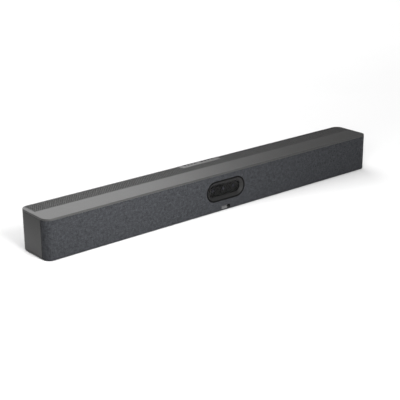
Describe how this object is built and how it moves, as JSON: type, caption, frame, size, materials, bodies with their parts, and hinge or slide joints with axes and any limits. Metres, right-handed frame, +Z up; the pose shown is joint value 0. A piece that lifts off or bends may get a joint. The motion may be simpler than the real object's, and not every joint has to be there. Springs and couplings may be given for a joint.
{
  "type": "conference camera",
  "caption": "Long meeting-room camera and speaker bar with a cloth front, a wide lens window with a sliding shutter, a perforated top and a recessed socket bay.",
  "frame": {"origin": "middle of the footprint, on the plane that the feet stand on", "axes": "+Z up, the cloth front faces -Y, +X to the right seen from the front"},
  "size_m": [0.6, 0.065, 0.0575],
  "materials": {
    "strip_plastic": "satin, light warm grey",
    "grille_plastic": "matt, finely perforated",
    "bezel_plastic": "satin",
    "case_plastic": "fine matt grain",
    "dark_plastic": "fine matt grain",
    "black_plastic": "matt",
    "button_plastic": "satin",
    "knob_plastic": "satin",
    "window_plastic": "satin",
    "black_gloss": "gloss",
    "cloth": "fine woven melange",
    "rubber": "matt",
    "smoked_glass": "gloss, smoked",
    "lens_glass": "gloss, coated",
    "steel": "plain sheet",
    "screw_steel": "blackened",
    "aluminium": "extruded",
    "brass": "plain",
    "board_green": "solder resist",
    "flex_orange": "film",
    "pad": "soft foam",
    "cone_paper": "pressed pulp",
    "wire_red": "insulated",
    "wire_white": "insulated"
  },
  "bodies": {
    "housing": {"top_cover": "strip_plastic", "cover_posts": "aluminium", "top_grille": "grille_plastic", "vent_bezel": "bezel_plastic", "left_end_cap": "case_plastic", "right_end_cap": "case_plastic", "rear_cover": "case_plastic", "base_tray": "dark_plastic", "feet": "rubber", "grille_frame": "dark_plastic", "grille_fabric": "cloth", "window_ring": "black_gloss", "window_bezel": "window_plastic", "window_glass": "smoked_glass", "camera_bracket": "steel", "camera_board": "board_green", "left_lens": "black_plastic", "centre_lens": "black_plastic", "right_lens": "black_plastic", "lens_elements": "lens_glass", "camera_flex": "flex_orange", "main_board": "board_green", "board_chips": "black_plastic", "thermal_pad": "pad", "heat_sink": "aluminium", "shield_can": "steel", "io_shield": "steel", "dc_jack": "black_plastic", "lan_port": "steel", "hdmi_ports": "steel", "usb_c_port": "steel", "usb_a_port": "steel", "audio_jack": "black_plastic", "board_switches": "black_plastic", "mic_boards": "board_green", "mic_boots": "rubber", "mic_capsules": "brass", "left_speaker_box": "black_plastic", "right_speaker_box": "black_plastic", "left_speaker_frame": "steel", "right_speaker_frame": "steel", "speaker_surrounds": "rubber", "speaker_magnets": "steel", "speaker_gaskets": "pad", "antennas": "brass", "antenna_leads": "rubber", "speaker_wires": "wire_red", "mic_cables": "wire_white", "case_screws": "screw_steel", "rear_screws": "screw_steel", "board_screws": "screw_steel", "camera_screws": "screw_steel", "wall_inserts": "brass", "lock_plate": "steel"},
    "shutter": {"shutter_blade": "dark_plastic", "shutter_knob": "knob_plastic"},
    "power_key": {"power_button": "button_plastic"},
    "reset_key": {"reset_button": "button_plastic"},
    "left_cone": {"left_speaker_cone": "cone_paper"},
    "right_cone": {"right_speaker_cone": "cone_paper"}
  },
  "joints": [
    {"name": "shutter_slide", "type": "slide", "parent": "housing", "child": "shutter", "axis": [1, 0, 0], "range_m": [0, 0.0052]},
    {"name": "power_press", "type": "slide", "parent": "housing", "child": "power_key", "axis": [0, -1, 0], "range_m": [0, 0.0009], "stiffness_N_per_m": 600},
    {"name": "reset_press", "type": "slide", "parent": "housing", "child": "reset_key", "axis": [0, -1, 0], "range_m": [0, 0.0004], "stiffness_N_per_m": 500},
    {"name": "left_cone_stroke", "type": "slide", "parent": "housing", "child": "left_cone", "axis": [0, -1, 0], "range_m": [-0.0015, 0.0015], "stiffness_N_per_m": 1200},
    {"name": "right_cone_stroke", "type": "slide", "parent": "housing", "child": "right_cone", "axis": [0, -1, 0], "range_m": [-0.0015, 0.0015], "stiffness_N_per_m": 1200}
  ]
}
